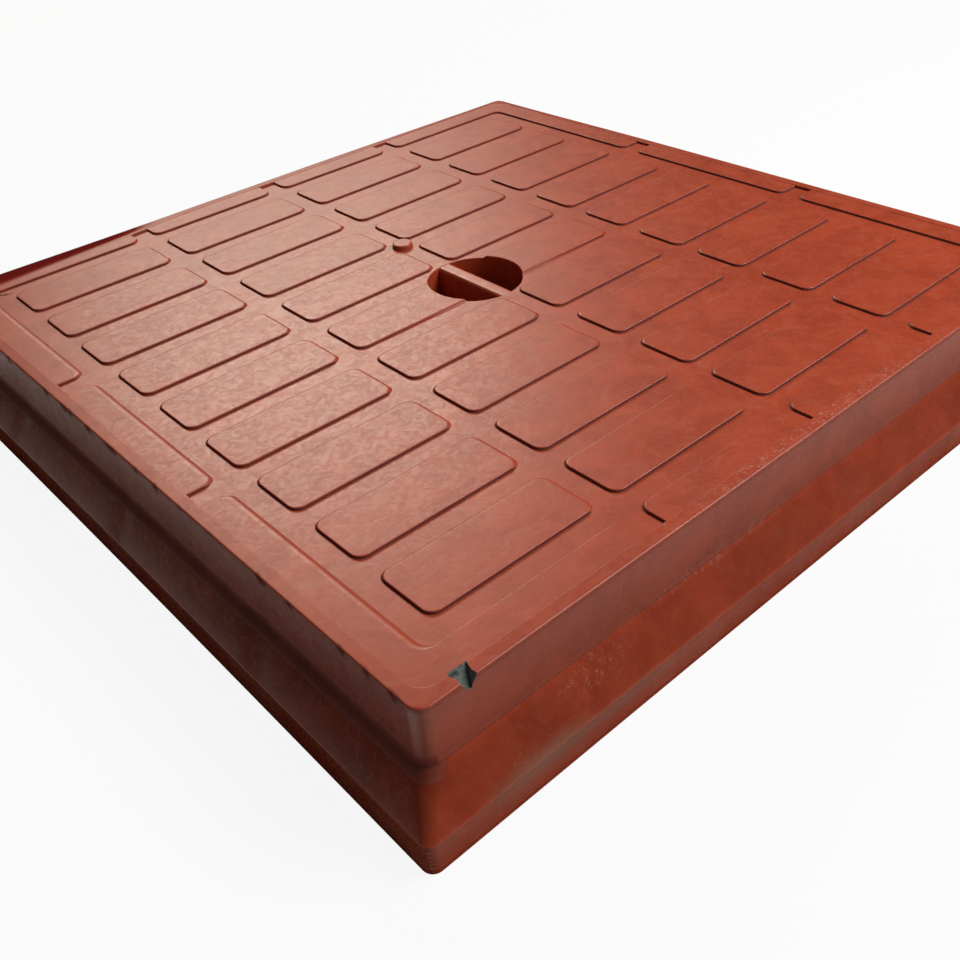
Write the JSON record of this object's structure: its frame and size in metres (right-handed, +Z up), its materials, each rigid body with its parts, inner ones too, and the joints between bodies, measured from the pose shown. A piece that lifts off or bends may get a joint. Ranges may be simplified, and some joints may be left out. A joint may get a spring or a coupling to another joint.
{
  "type": "inspection cover",
  "caption": "Square moulded inspection cover: raised brick tread inside a sloping rim, stepped skirt that flares to an upright lip, and a round lifting hole with a grip bar.",
  "frame": {"origin": "middle of the base, on the level that the lip stands on", "axes": "+Z up, +X along the length of the tread bricks, +Y across the bricks, from the lifting hole to the nub"},
  "size_m": [0.431, 0.431, 0.0626],
  "materials": {
    "moulding": "satin"
  },
  "bodies": {
    "root": {"inspection_cover": "moulding"}
  },
  "joints": []
}
